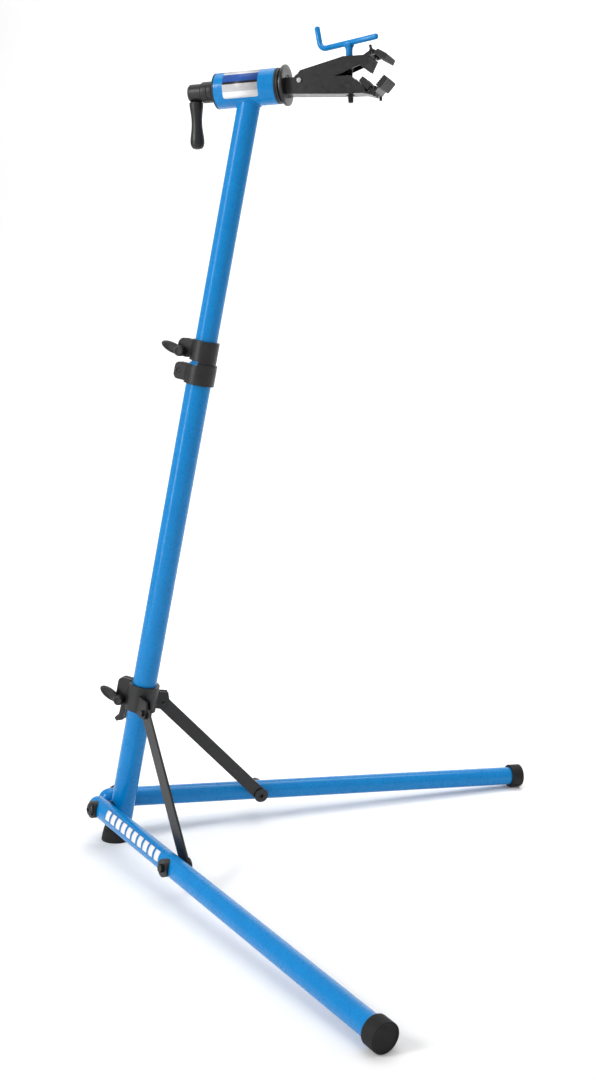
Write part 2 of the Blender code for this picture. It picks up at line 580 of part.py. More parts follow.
# === sliding collar, braces and legs ==================================================================
def slide_collar(hinges):
    body = cylinder("slide_collar", mast, BLACK, COLLAR_RADIUS, COLLAR_SPAN, sides=TUBE_SIDES)
    ear = plate("collar_ear", mast, None, rounded((-0.050, 0.268), (-0.018, 0.3190), 0.010), 2 * EAR_HALF)
    tab = plate("collar_tab", mast, None,
                [(-0.0445, 0.2375), (-0.0400, 0.2320), (-0.0275, 0.2380), (-0.0255, 0.270), (-0.036, 0.272),
                 (-0.0370, 0.2480)], 2 * EAR_HALF)
    join(body, ear, tab)
    fork_outline = ([(0.015, 0.0235), (0.051, 0.0235), (0.0565, 0.006)]
                    + arc((BRACE_REACH, 0), 0.0110, 20, -100, 6) + [(0.015, -0.0095)])
    for side, name in ((-1, "front"), (1, "rear")):
        middle = BRACE_TOP_SIDE
        fork = plate("collar_fork_" + name, hinges[name], None, fork_outline, 0.0135,
                     at=(0, side * middle, 0))
        join(body, fork)
    cut(body, cylinder("collar_bore", mast, None, COLLAR_BORE, (0.220, 0.340), sides=TUBE_SIDES),
        box("collar_split", mast, None, (-0.060, -0.0015, 0.230), (-0.015, 0.0015, 0.340)),
        cylinder("collar_bolt_hole", mast, None, BOLT_RADIUS + GAP, (-0.02, 0.02), "Y",
                 (COLLAR_BOLT[0], 0, COLLAR_BOLT[1])))
    for side, name in ((-1, "front"), (1, "rear")):
        middle = side * BRACE_TOP_SIDE
        slot = (BRACE_THICKNESS + 0.0014) / 2
        cut(body, box("fork_slot_" + name, hinges[name], None, (BRACE_REACH - 0.0145, middle - slot, -0.05),
                      (0.08, middle + slot, 0.05)),
            cylinder("fork_hole_" + name, hinges[name], None, BOLT_RADIUS + GAP,
                     (middle - 0.02, middle + 0.02), "Y", (BRACE_REACH, 0, 0)))
        outer = middle + side * (0.00675 + GAP)
        span = sorted((middle - side * 0.009, outer))
        bolt("brace_pivot_bolt_" + name, hinges[name], STEEL, BOLT_RADIUS,
             (span[0], span[1] + 0.0005), 0.0065,
             sorted((outer, outer + side * 0.0045)), "Y", (BRACE_REACH, 0, 0))
    bolt("collar_bolt", mast, STEEL, BOLT_RADIUS, (-0.020, 0.009), 0.0065,
         (EAR_HALF + GAP, EAR_HALF + 0.005), "Y", (COLLAR_BOLT[0], 0, COLLAR_BOLT[1]))


def brace(name, side, hinge):
    """A flat bar from the collar's fork to the leg, in the plane in which the leg folds."""
    top = Vector((BRACE_REACH, side * BRACE_TOP_SIDE, 0))
    foot = Vector((BRACE_FOOT * math.sin(LEG_ANGLE), side * BRACE_FOOT_SIDE,
                   PIVOT_HEIGHT + BRACE_FOOT * math.cos(LEG_ANGLE) - BRACE_HEIGHT))
    run = foot - top
    length = math.hypot(run.x, run.z)
    turn = math.atan2(-run.z, run.x)
    skew = math.atan2(run.y, length)
    own = frame("brace_frame_" + name, hinge, top, (0, turn, 0))
    half = BRACE_WIDTH / 2
    outline = arc((length, 0), half, -90, 90, 12) + arc((0, 0), half, 90, 270, 12)
    bar = plate("brace_" + name, own, BLACK, outline, BRACE_THICKNESS)
    bar.rotation_euler = (math.pi / 2, 0, skew)
    cut(bar, cylinder("brace_top_hole_" + name, own, None, BOLT_RADIUS + 0.0005, (-0.02, 0.02), "Y"))
    inner = run.y - side * (BRACE_THICKNESS / 2 + GAP + 0.0004)
    cap = sorted((inner, inner - side * 0.0035))
    turned("brace_cap_" + name, own, BLACK,
           [(0.0130, cap[1]), (0.0142, cap[1] - 0.001), (0.0142, cap[0] + 0.001), (0.0130, cap[0]),
            (0.0040, cap[0]), (0.0040, cap[1])], axis="Y", at=(length, 0, 0), sides=24)


def leg(name, side):
    pivot = frame("leg_frame_" + name, mast, (0, 0, PIVOT_HEIGHT), (0, 0, side * LEG_AZIMUTH))
    own = frame("leg_axis_" + name, pivot, (0, side * LEG_OFFSET, 0), (0, LEG_ANGLE, 0))
    heel = [(LEG_RADIUS * math.cos(a), -0.014 - (LEG_HEEL - 0.014) * math.sin(a))
            for a in [math.radians(15 * i) for i in range(6)]]
    end = LEG_LENGTH - CAP_END - GAP
    tube = turned("leg_tube_" + name, own, BLUE,
                  [(0, -0.016), (LEG_BORE, -0.014), (LEG_BORE, end), (LEG_RADIUS, end)] + heel
                  + [(0, -LEG_HEEL)], closed=False)
    turned("leg_cap_" + name, own, RUBBER,
           [(0, LEG_LENGTH), (CAP_RADIUS, LEG_LENGTH), (CAP_RADIUS, LEG_LENGTH - CAP_SKIRT + 0.0015),
            (CAP_RADIUS - 0.0015, LEG_LENGTH - CAP_SKIRT), (LEG_RADIUS + GAP, LEG_LENGTH - CAP_SKIRT),
            (LEG_RADIUS + GAP, LEG_LENGTH - CAP_END), (0, LEG_LENGTH - CAP_END)], closed=False)
    surface = LEG_RADIUS + GAP
    places = ((0, "pivot", 0.016, PIVOT_BOLT_RADIUS), (BRACE_FOOT, "brace", 0.0155, 0.004))
    for where, label, width, bore in places:
        saddle = ring(f"{label}_saddle_{name}", own, BLACK, width, bore + GAP,
                      sorted((side * 0.008, side * SADDLE_FACE)), "Y", (0, 0, where), sides=24)
        cut(saddle, cylinder(f"{label}_saddle_cut_{name}", own, None, surface, (where - 0.04, where + 0.04),
                             sides=TUBE_SIDES))
        cut(tube, cylinder(f"{label}_leg_hole_{name}", own, None, bore + GAP, (-0.03, 0.03), "Y",
                           (0, 0, where)))
    flat = LEG_OFFSET - LOWER_RADIUS - 0.0005
    spacer = ring("pivot_spacer_" + name, own, BLACK, 0.0140, PIVOT_BOLT_RADIUS + GAP,
                  sorted((-side * 0.010, -side * flat)), "Y", sides=24)
    cut(spacer, cylinder("spacer_cut_" + name, own, None, surface, (-0.04, 0.04), sides=TUBE_SIDES))
    face = SADDLE_FACE + GAP
    inner = LEG_OFFSET - BRACE_FOOT_SIDE - BRACE_THICKNESS / 2 - 0.0008
    bolt("brace_bolt_" + name, own, STEEL, 0.004, sorted((-side * inner, side * (face + 0.001))), 0.0075,
         sorted((side * face, side * (face + 0.0055))), "Y", (0, 0, BRACE_FOOT))


lower_mast()
height_clamp()
wing_lever("height_lever", CLAMP_BOLT, 0.0135, 0.0235, 0.0092, math.radians(13))
upper_mast()
clamp_shaft()
lower_arm()
spindle(upper_arm())
jaw("lower", LOWER_JAW, 0.0)
jaw("upper", UPPER_JAW, UPPER_JAW_TURN)
lock_handle()
hinge_frames = {name: frame("brace_hinge_" + name, mast, (0, 0, BRACE_HEIGHT), (0, 0, side * LEG_AZIMUTH))
                for side, name in ((-1, "front"), (1, "rear"))}
slide_collar(hinge_frames)
wing_lever("collar_lever", COLLAR_BOLT, 0.0210, 0.0225, 0.0100, math.radians(20))
for side, name in ((-1, "front"), (1, "rear")):
    brace(name, side, hinge_frames[name])
    leg(name, side)
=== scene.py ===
"""Looks of the folding bike repair stand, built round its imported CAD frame. Metres, +Z up."""
import json
import math

import bmesh
import bpy
from mathutils import Matrix, Vector


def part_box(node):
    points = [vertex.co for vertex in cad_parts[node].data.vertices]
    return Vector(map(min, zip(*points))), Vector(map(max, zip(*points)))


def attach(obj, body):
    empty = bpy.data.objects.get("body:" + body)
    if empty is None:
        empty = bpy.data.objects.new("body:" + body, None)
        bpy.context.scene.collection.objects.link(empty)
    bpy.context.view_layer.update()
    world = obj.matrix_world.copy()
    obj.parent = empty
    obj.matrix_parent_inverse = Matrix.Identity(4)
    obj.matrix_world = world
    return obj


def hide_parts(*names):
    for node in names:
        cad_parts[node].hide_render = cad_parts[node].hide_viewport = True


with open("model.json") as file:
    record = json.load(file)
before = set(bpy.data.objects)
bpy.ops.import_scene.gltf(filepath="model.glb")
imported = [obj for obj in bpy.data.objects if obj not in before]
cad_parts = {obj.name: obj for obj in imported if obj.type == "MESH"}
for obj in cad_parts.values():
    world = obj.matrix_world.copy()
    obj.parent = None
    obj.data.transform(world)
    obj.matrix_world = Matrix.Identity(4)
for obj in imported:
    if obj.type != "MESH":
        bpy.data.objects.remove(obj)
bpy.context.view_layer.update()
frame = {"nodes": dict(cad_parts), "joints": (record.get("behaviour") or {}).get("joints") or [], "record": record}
joints = {joint["name"]: joint for joint in frame["joints"]}
slots = {entry["node"]: entry["material_slot"] for entry in frame["record"]["subparts"]}
body_of = {node: body for body, nodes in frame["record"]["behaviour"]["bodies"].items() for node in nodes}


# === frames, all taken from the record's joints ======================================================
def axes(origin, x, y, z):
    """A matrix whose columns are three axes and an origin."""
    made = Matrix((x, y, z)).transposed().to_4x4()
    made.translation = origin
    return made


Y = Vector((0, 1, 0))
mast_axis = Vector(joints["mast_slide"]["axis"])
MAST = axes(Vector((0, 0, 0)), Y.cross(mast_axis), Y, mast_axis)

barrel_axis = Vector(joints["head_turn"]["axis"])
HEAD = axes(Vector(joints["head_turn"]["pos_m"]), barrel_axis, Y, barrel_axis.cross(Y))

spindle_axis = Vector(joints["spindle_turn"]["axis"])
SPINDLE = axes(Vector(joints["spindle_turn"]["pos_m"]), Y.cross(spindle_axis), Y, spindle_axis)


def centre(node):
    low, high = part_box(node)
    return (low + high) / 2


def leg_frame(name):
    """Origin on the leg's pivot, Z along the leg to its cap, Y sideways towards +Y of the stand."""
    pivot = Vector(joints["leg_fold_" + name]["pos_m"])
    sideways = -Vector(joints["leg_fold_" + name]["axis"])
    along = centre("leg_cap_" + name) - pivot
    along = (along - sideways * along.dot(sideways)).normalized()
    return axes(pivot, sideways.cross(along), sideways, along)


SIDE = {"front": -1, "rear": 1}
LEG = {name: leg_frame(name) for name in SIDE}

# === sizes of the turned and folded pieces, metres ===================================================
LOWER_RADIUS = 0.0225
LOWER_BORE = 0.0210
LOWER_SPAN = (0.0095, 0.9220)
UPPER_RADIUS = 0.0197
UPPER_BORE = 0.0181
UPPER_LOW = 0.720
BARREL_RADIUS = 0.0295
BARREL_BORE = 0.0260
BARREL_HALF = 0.054
LEG_RADIUS = 0.01855
LEG_BORE = 0.0168
LEG_HEEL = 0.037
LEG_BEND = 0.014
GRIP_X = -0.0965
HANDLE_RISE = 0.037
HANDLE_ROD = 0.0047
HANDLE_BEND = 0.014
HANDLE_BEND_ANGLE = 80
PIVOT_HEAD = 0.0060
JAW_HALF_ANGLE = math.radians(43.5)
JAW_SHEET = 0.003
PAD_LAYER = 0.0034
PAD_HALF_WIDTH = 0.027
SOFT_EDGE = 0.0005
CAST_EDGE = 0.0008                    # on the larger mouldings and the arms


# === materials =======================================================================================
def shader_of(name):
    made = bpy.data.materials.new(name)
    made.use_nodes = True
    tree = made.node_tree
    return made, tree, tree.nodes["Principled BSDF"]


def noise(tree, scale, detail=3.0, rough=0.5):
    coordinates = tree.nodes.new("ShaderNodeTexCoord")
    made = tree.nodes.new("ShaderNodeTexNoise")
    made.inputs["Scale"].default_value = scale
    made.inputs["Detail"].default_value = detail
    made.inputs["Roughness"].default_value = rough
    tree.links.new(coordinates.outputs["Object"], made.inputs["Vector"])
    return made.outputs["Fac"]


def ramp(tree, value, low, high, start=0.3, end=0.7):
    """Maps a value to a colour or to a grey between low and high."""
    made = tree.nodes.new("ShaderNodeValToRGB")
    made.color_ramp.elements[0].position = start
    made.color_ramp.elements[1].position = end
    for element, level in zip(made.color_ramp.elements, (low, high)):
        element.color = (*level, 1.0) if isinstance(level, tuple) else (level, level, level, 1.0)
    tree.links.new(value, made.inputs["Fac"])
    return made.outputs["Color"]


def bump(tree, height, distance, strength):
    made = tree.nodes.new("ShaderNodeBump")
    made.inputs["Distance"].default_value = distance
    made.inputs["Strength"].default_value = strength
    tree.links.new(height, made.inputs["Height"])
    return made.outputs["Normal"]


def finish_material(name, low, high, rough, grain, depth, metallic=0.0, coat=0.0, patches=35.0, shine=0.3):
    """Mottled colour and roughness over patches, with a fine grain raised by depth."""
    made, tree, shader = shader_of(name)
    broad = noise(tree, patches, 4.0, 0.6)
    fine = noise(tree, grain, 2.0, 0.5)
    tree.links.new(ramp(tree, broad, low, high), shader.inputs["Base Color"])
    small = noise(tree, patches * 4, 5.0, 0.65)
    tree.links.new(ramp(tree, small, rough[0], rough[1]), shader.inputs["Roughness"])
    tree.links.new(bump(tree, fine, depth, 0.5), shader.inputs["Normal"])
    shader.inputs["Metallic"].default_value = metallic
    shader.inputs["Specular IOR Level"].default_value = shine
    shader.inputs["Coat Weight"].default_value = coat
    shader.inputs["Coat Roughness"].default_value = 0.12
    return made


BLUE = finish_material("blue_powder_coat", (0.000, 0.178, 0.470), (0.001, 0.200, 0.515), (0.24, 0.34),
                       700, 0.00003, coat=0.18, shine=0.18)
CAST = finish_material("black_moulding", (0.007, 0.007, 0.008), (0.013, 0.013, 0.013), (0.34, 0.50),
                       1600, 0.00006, shine=0.40)
RUBBER = finish_material("boot_rubber", (0.007, 0.007, 0.007), (0.013, 0.013, 0.013), (0.60, 0.78),
                         1200, 0.00008, shine=0.25)
PAD = finish_material("jaw_rubber", (0.010, 0.010, 0.011), (0.018, 0.018, 0.019), (0.52, 0.70),
                      900, 0.00010, shine=0.30)
ARM = finish_material("black_enamel", (0.006, 0.006, 0.007), (0.011, 0.011, 0.012), (0.26, 0.38),
                      900, 0.00004, coat=0.05, shine=0.40)
OXIDE = finish_material("black_oxide", (0.030, 0.030, 0.033), (0.055, 0.054, 0.056), (0.30, 0.45),
                        1400, 0.00005, metallic=0.9, patches=120.0)
BRIGHT = finish_material("turned_steel", (0.50, 0.50, 0.50), (0.62, 0.61, 0.60), (0.20, 0.32),
                         1800, 0.00003, metallic=1.0, patches=90.0)
NYLON = finish_material("dark_nylon", (0.022, 0.022, 0.023), (0.035, 0.035, 0.036), (0.42, 0.55),
                        1500, 0.00006)
WHITE = finish_material("label_white", (0.74, 0.74, 0.75), (0.80, 0.80, 0.80), (0.30, 0.40), 1500, 0.00002)
SILVER = finish_material("label_silver", (0.42, 0.41, 0.42), (0.56, 0.55, 0.56), (0.25, 0.35), 1500, 0.00002)
NAVY = finish_material("label_navy", (0.010, 0.060, 0.270), (0.016, 0.080, 0.330), (0.25, 0.35),
                       1500, 0.00002)
INK = finish_material("label_black", (0.008, 0.008, 0.009), (0.014, 0.014, 0.015), (0.30, 0.40),
                      1500, 0.00002)
LOOK = {"blue_paint": BLUE, "boot_rubber": RUBBER, "jaw_rubber": PAD, "bright_steel": BRIGHT, "nylon": NYLON,
        "black_plastic": CAST, "black_steel": ARM, "dark_steel": OXIDE}


# === pieces ==========================================================================================
def finish_mesh(made, edge=0.0, segments=3, angle=30.0):
    """Rounds the edges by a small bevel and shades the rest smooth."""
    made.data.shade_smooth()
    made.data.set_sharp_from_angle(angle=math.radians(angle))
    if edge:
        step = made.modifiers.new("Edges", "BEVEL")
        step.width = edge
        step.segments = segments
        step.limit_method = "ANGLE"
        step.angle_limit = math.radians(angle)
        step.harden_normals = True
        step.use_clamp_overlap = True
    return made


def add(name, mesh, body, look, replaces=(), matrix=None, edge=0.0, angle=30.0):
    made = bpy.data.objects.new(name, mesh)
    bpy.context.scene.collection.objects.link(made)
    if matrix is not None:
        made.data.transform(matrix)
    made.data.materials.clear()
    made.data.materials.append(look)
    finish_mesh(made, edge, angle=angle)
    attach(made, body)
    if replaces:
        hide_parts(*replaces)
    return made


def refined(node, edge):
    """A copy of a CAD solid with merged faces, softened edges and smooth curved sides."""
    mesh = frame["nodes"][node].data.copy()
    shape = bmesh.new()
    shape.from_mesh(mesh)
    bmesh.ops.remove_doubles(shape, verts=shape.verts, dist=0.000005)
    bmesh.ops.dissolve_limit(shape, angle_limit=math.radians(0.5), verts=shape.verts, edges=shape.edges)
    shape.to_mesh(mesh)
    shape.free()
    for layer in list(mesh.attributes):
        if layer.name in ("custom_normal", "sharp_edge"):
            mesh.attributes.remove(layer)
    return add(node + "_skin", mesh, body_of[node], LOOK[slots[node]], (node,), edge=edge)


def soft(profile, radius, closed=False, steps=4):
    """A profile with its corners cut to round ones, of the radius where there is room."""
    points = [Vector(point) for point in profile]
    count = len(points)
    made = []
    for i, point in enumerate(points):
        if not closed and i in (0, count - 1):
            made.append(tuple(point))
            continue
        before, after = points[i - 1] - point, points[(i + 1) % count] - point
        if before.length < 1e-7 or after.length < 1e-7 or before.angle(after) > math.radians(160):
            made.append(tuple(point))
            continue
        reach = min(radius, before.length * 0.45, after.length * 0.45)
        start, end = point + before.normalized() * reach, point + after.normalized() * reach
        for k in range(steps + 1):
            f = k / steps
            made.append(tuple(start * (1 - f) ** 2 + point * (2 * f * (1 - f)) + end * f ** 2))
    return made


def grid_mesh(name, rings, close=False):
    """Joins rings of points into one skin. A ring of one point is a pole."""
    mesh = bpy.data.meshes.new(name)
    points, starts = [], []
    for ring in rings:
        starts.append(len(points))
        points.extend(tuple(point) for point in ring)
    faces = []
    pairs = list(zip(range(len(rings) - 1), range(1, len(rings))))
    if close:
        pairs.append((len(rings) - 1, 0))
    for i, j in pairs:
        one, two = len(rings[i]), len(rings[j])
        count = max(one, two)
        for k in range(count):
            n = (k + 1) % count
            corners = [starts[i] + k % one, starts[i] + n % one, starts[j] + n % two, starts[j] + k % two]
            face = []
            for corner in corners:
                if corner not in face:
                    face.append(corner)
            if len(face) > 2:
                faces.append(face)
    mesh.from_pydata(points, [], faces)
    shape = bmesh.new()
    shape.from_mesh(mesh)
    bmesh.ops.recalc_face_normals(shape, faces=shape.faces)
    shape.to_mesh(mesh)
    shape.free()
    return mesh


def lathe(name, profile, sides=96, closed=False, turn=None):
    """A profile of (radius, height) points turned round Z, or round another axis through turn."""
    rings = []
    for radius, height in profile:
        if radius < 1e-7:
            rings.append([Vector((0, 0, height))])
        else:
            turns = [2 * math.pi * k / sides for k in range(sides)]
            rings.append([Vector((radius * math.cos(a), radius * math.sin(a), height)) for a in turns])
    mesh = grid_mesh(name, rings, close=closed)
    if turn is not None:
        mesh.transform(turn)
    return mesh


ALONG_X = Matrix.Rotation(math.pi / 2, 4, "Y")


def shift(x, y, z):
    return Matrix.Translation((x, y, z))


def prism(name, outline, y0, y1):
    """An outline in (x, z) carried from y0 to y1."""
    rings = [[Vector((x, y0, z)) for x, z in outline], [Vector((x, y1, z)) for x, z in outline]]
    mesh = grid_mesh(name, rings)
    shape = bmesh.new()
    shape.from_mesh(mesh)
    bmesh.ops.holes_fill(shape, edges=[edge for edge in shape.edges if edge.is_boundary])
    bmesh.ops.recalc_face_normals(shape, faces=shape.faces)
    shape.to_mesh(mesh)
    shape.free()
    return mesh


def carved(mesh, *cutters):
    """The mesh with the cutters' meshes taken away from it."""
    base = bpy.data.objects.new("base", mesh)
    bpy.context.scene.collection.objects.link(base)
    helpers = []
    for cutter in cutters:
        helper = bpy.data.objects.new("cutter", cutter)
        bpy.context.scene.collection.objects.link(helper)
        helpers.append(helper)
        step = base.modifiers.new("Cut", "BOOLEAN")
        step.operation = "DIFFERENCE"
        step.object = helper
        step.solver = "EXACT"
    bpy.context.view_layer.update()
    made = bpy.data.meshes.new_from_object(base.evaluated_get(bpy.context.evaluated_depsgraph_get()))
    for helper in helpers + [base]:
        bpy.data.objects.remove(helper)
    return made


def merged(name, *meshes):
    """One mesh that holds several closed ones."""
    shape = bmesh.new()
    for mesh in meshes:
        shape.from_mesh(mesh)
    made = bpy.data.meshes.new(name)
    shape.to_mesh(made)
    shape.free()
    return made


done = set()


def put(name, mesh, node, matrix, look=None, edge=0.0):
    """A new piece in the place of a CAD node, with that node's body and slot."""
    done.add(node)
    return add(name, mesh, body_of[node], look or LOOK[slots[node]], (node,),
               matrix=matrix, edge=edge)


# === tubes ===========================================================================================
def tube(outer, bore, low, high):
    return soft([(outer, high), (outer, low), (bore, low), (bore, high)], 0.0005, closed=True)


put("lower_tube_skin", lathe("lower_tube", tube(LOWER_RADIUS, LOWER_BORE, *LOWER_SPAN), closed=True),
    "lower_tube", MAST)

barrel_cut = lathe("barrel_cut", [(0, 0.09), (0.0296, 0.09), (0.0296, -0.09), (0, -0.09)], turn=ALONG_X)
barrel_cut.transform(MAST.inverted() @ HEAD)
upper_high = (MAST.inverted() @ HEAD.translation).z
upper = carved(lathe("upper_tube", tube(UPPER_RADIUS, UPPER_BORE, UPPER_LOW, upper_high), closed=True),
               barrel_cut)
put("upper_tube_skin", upper, "upper_tube", MAST)
barrel = soft([(BARREL_RADIUS, BARREL_HALF), (BARREL_RADIUS, -BARREL_HALF), (BARREL_BORE, -BARREL_HALF),
               (BARREL_BORE, BARREL_HALF)], 0.0008, closed=True)
put("head_barrel_skin", lathe("head_barrel", barrel, 128, True, ALONG_X), "head_barrel", HEAD)


def weld(name, radius, wall, body, bead=0.0019, count=160):
    """The bead round the upper tube where it meets the barrel."""
    to_head = HEAD.inverted() @ MAST
    path = []
    for k in range(count):
        turn = 2 * math.pi * k / count
        low, high = upper_high - 0.080, upper_high
        for _ in range(40):
            height = (low + high) / 2
            point = to_head @ Vector((radius * math.cos(turn), radius * math.sin(turn), height))
            if math.hypot(point.y, point.z) > wall:
                low = height
            else:
                high = height
        path.append(Vector((radius * math.cos(turn), radius * math.sin(turn), low)))
    rings = []
    for k, point in enumerate(path):
        ahead = (path[(k + 1) % count] - path[k - 1]).normalized()
        out = Vector((point.x, point.y, 0)).normalized()
        side = ahead.cross(out).normalized()
        size = bead * (1 + 0.10 * math.sin(2 * math.pi * 4 * (k % 4) / 16 + 0.4) + 0.05 * math.sin(1.7 * k))
        rings.append([point + (out * math.cos(a) + side * math.sin(a)) * size
                      for a in [2 * math.pi * j / 10 for j in range(10)]])
    add(name, grid_mesh(name, rings, close=True), body, BLUE, matrix=MAST)


weld("barrel_weld", UPPER_RADIUS, BARREL_RADIUS, "upper_mast")

for name, side in SIDE.items():
    length = (centre("leg_cap_" + name) - LEG[name].translation).dot(LEG[name].col[2].to_3d()) + 0.013
    heel = [(LEG_RADIUS * math.cos(math.radians(a)), -LEG_BEND - 0.023 * math.sin(math.radians(a)))
            for a in range(0, 90, 6)]
    outline = [(LEG_BORE, length - 0.0065), (LEG_RADIUS, length - 0.0065)] + heel + [(0, -LEG_HEEL)]
    inside = [(0, -0.016), (LEG_BORE, -LEG_BEND)]
    put("leg_tube_" + name + "_skin", lathe("leg_tube_" + name, inside + outline), "leg_tube_" + name,
        LEG[name])
    rim = soft([(0.0189, length - 0.026), (0.0226, length - 0.026), (0.0235, length - 0.0245),
                (0.0235, length), (0.0205, length), (0.0195, length - 0.0012), (0, length - 0.0012)], 0.0012)
    inner = [(0, length - 0.006), (0.0189, length - 0.006)]
    put("leg_cap_" + name + "_skin", lathe("leg_cap_" + name, inner + rim), "leg_cap_" + name, LEG[name])


# === mast foot =======================================================================================
def mast_foot():
    outline = soft([(0.0228, 0.0095), (0.0228, 0.030), (0.0262, 0.030), (0.0268, 0.0225), (0.0259, 0.0215),
                    (0.0262, 0.0190), (0.0275, 0.0180), (0.0285, 0.006), (0.0285, -0.012),
                     (0, -0.012)], 0.0009)
    mesh = lathe("mast_foot", [(0, 0.0092), (0.0228, 0.0092)] + outline[1:])
    mesh.transform(MAST)
    shape = bmesh.new()
    shape.from_mesh(mesh)
    everything = shape.verts[:] + shape.edges[:] + shape.faces[:]
    bmesh.ops.bisect_plane(shape, geom=everything, plane_co=(0, 0, 0), plane_no=(0, 0, -1), clear_outer=True)
    bmesh.ops.holes_fill(shape, edges=[edge for edge in shape.edges if edge.is_boundary])
    bmesh.ops.recalc_face_normals(shape, faces=shape.faces)
    shape.to_mesh(mesh)
    shape.free()
    put("mast_foot_skin", mesh, "mast_foot", None)


mast_foot()


# === clamp levers ====================================================================================
def dish(name, middle, half_length, half_width, rise, y_middle, thick):
    """An oval wing with a raised rim round a shallow dish on both faces."""
    along = Vector((-math.cos(rise), 0, math.sin(rise)))
    across = Vector((math.sin(rise), 0, math.cos(rise)))
    levels = [(0.0, 0.50), (0.25, 0.52), (0.45, 0.58), (0.60, 0.72), (0.72, 0.92), (0.80, 1.0), (0.88, 0.93),
              (0.95, 0.68), (0.985, 0.38), (1.0, 0.0)]
    faces = [(reach, -height) for reach, height in levels]
    faces += [(reach, height) for reach, height in levels[-2::-1]]
    rings = []
    for reach, height in faces:
        lift = Vector((0, y_middle + height * thick / 2, 0))
        if reach == 0.0:
            rings.append([along * middle + lift])
            continue
        ring = []
        for k in range(48):
            turn = 2 * math.pi * k / 48
            ring.append(along * (middle + half_length * reach * math.cos(turn))
                        + across * half_width * reach * math.sin(turn) + lift)
        rings.append(ring)
    return grid_mesh(name, rings)


def wing_lever(name, middle, half_length, half_width, rise):
    pivot = MAST.copy()
    pivot.translation = Vector(joints[name + "_turn"]["pos_m"])
    hub = lathe(name + "_hub", soft([(0, 0.0084), (0.0095, 0.0084), (0.0095, 0.0205), (0.0085, 0.0238),
                                     (0.0050, 0.0240), (0.0045, 0.0228), (0, 0.0228)], 0.0008), 48,
                turn=Matrix.Rotation(math.pi / 2, 4, "X"))
    wing = dish(name + "_wing", middle, half_length, half_width, rise, -0.0175, 0.0080)
    put(name + "_skin", merged(name, hub, wing), name, pivot)


wing_lever("height_lever", 0.0135, 0.0235, 0.0092, math.radians(13))
wing_lever("collar_lever", 0.0210, 0.0225, 0.0100, math.radians(20))


# === lock handle =====================================================================================
hub = soft([(0.0083, -0.0605), (0.0160, -0.0605), (0.0175, -0.0625), (0.0175, -0.0700), (0.0170, -0.0705),
            (0.0170, -0.0715), (0.0175, -0.0720), (0.0175, -0.0820), (0.0150, -0.0840), (0.0150, -0.1050),
            (0.0125, -0.1080), (0.0070, -0.1080), (0.0062, -0.1072), (0, -0.1072)], 0.0009)
put("lock_hub_skin", lathe("lock_hub", [(0, -0.1023), (0.0083, -0.1023)] + hub, 72, turn=ALONG_X),
    "lock_hub", HEAD)
grip_at = HEAD @ shift(GRIP_X, 0, 0)
grip = [(0.0122, -0.0160), (0.0118, -0.0235), (0.0108, -0.0300), (0.0099, -0.0365), (0.0094, -0.0430),
        (0.0093, -0.0495), (0.0096, -0.0560), (0.0103, -0.0625), (0.0112, -0.0690), (0.0120, -0.0750),
        (0.0123, -0.0800), (0.0120, -0.0850), (0.0108, -0.0888), (0.0085, -0.0915), (0.0050, -0.0930),
        (0, -0.0935)]
put("lock_grip_skin", lathe("lock_grip", [(0, -0.0803), (0.0048, -0.0803), (0.0048, -0.0160)] + grip, 64),
    "lock_grip", grip_at)


# === T-handle and screw ==============================================================================
def t_handle():
    rise, rod, bend, angle = HANDLE_RISE, HANDLE_ROD, HANDLE_BEND, HANDLE_BEND_ANGLE
    path = [Vector((0.059, 0, rise)), Vector((0.0, 0, rise))]
    for k in range(13):
        turn = math.radians(270 - angle * k / 12)
        path.append(Vector((-0.048 + bend * math.cos(turn), 0, rise + bend + bend * math.sin(turn))))
    lean = math.radians(90 - angle)
    path.append(path[-1] + Vector((-math.sin(lean), 0, math.cos(lean))) * 0.027)
    rings = []
    near = (path[0] - path[1]).normalized()
    for size, back in ((0, 0), (0.55, 0.0004), (0.86, 0.0014), (1.0, 0.0030)):
        rings.append((path[0] - near * back, near * -1, size))
    for k in range(1, len(path) - 1):
        rings.append((path[k], (path[k + 1] - path[k - 1]).normalized(), 1.0))
    out = (path[-1] - path[-2]).normalized()
    for size, back in ((1.0, 0.0030), (0.86, 0.0014), (0.55, 0.0004), (0, 0)):
        rings.append((path[-1] - out * back, out, size))
    made = []
    for point, ahead, size in rings:
        if size == 0:
            made.append([point])
            continue
        side = ahead.cross(Y).normalized()
        made.append([point + (Y * math.cos(a) + side * math.sin(a)) * rod * size
                     for a in [2 * math.pi * j / 32 for j in range(32)]])
    bar = grid_mesh("bar", made)
    bar.transform(Matrix.Rotation(math.radians(-21.8), 4, "Z"))
    stem = lathe("stem", soft([(0, rise), (0.0062, rise), (0.0092, rise - 0.0030), (0.0080, rise - 0.0060),
                               (0.0062, rise - 0.0090), (0.0057, rise - 0.0135), (0.0057, 0.0153),
                               (0, 0.0153)], 0.0010), 48)
    put("t_handle_skin", merged("t_handle", bar, stem), "t_handle", SPINDLE)


t_handle()
thread = [(0, 0.015), (0.0050, 0.015), (0.0050, -0.002)]
for k in range(27):
    thread += [(0.0049, -0.0040 - 0.002 * k), (0.0042, -0.0050 - 0.002 * k)]
thread += [(0.0038, -0.059), (0, -0.059)]
put("spindle_screw_skin", lathe("spindle_screw", thread, 40), "spindle_screw", SPINDLE)


